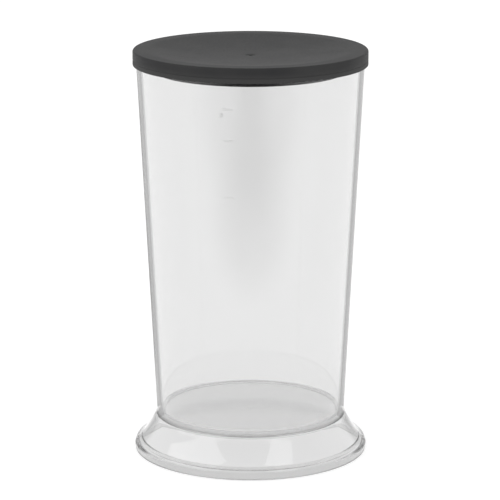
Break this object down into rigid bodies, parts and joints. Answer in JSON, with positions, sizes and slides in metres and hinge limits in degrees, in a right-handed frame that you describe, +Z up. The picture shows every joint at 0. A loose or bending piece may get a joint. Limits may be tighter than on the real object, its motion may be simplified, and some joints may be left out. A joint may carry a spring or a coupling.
{
  "type": "mixing beaker with lid",
  "caption": "Tall tapered clear mixing beaker with a hollow flared foot and a dished push-on lid that lifts straight off.",
  "frame": {"origin": "centre of the ring that the beaker stands on", "axes": "+Z up along the beaker's axis, towards the lid; the beaker's volume scale faces -Y"},
  "size_m": [0.1054, 0.1054, 0.1831],
  "materials": {
    "clear_plastic": "clear rigid moulding, polished inside and out",
    "grey_plastic": "fine spark-eroded texture, satin"
  },
  "bodies": {
    "beaker": {"beaker": "clear_plastic"},
    "lid": {"lid": "grey_plastic"}
  },
  "joints": [
    {"name": "lid_lift", "type": "slide", "parent": "beaker", "child": "lid", "axis": [0, 0, 1], "range_m": [0, 0.12]}
  ]
}
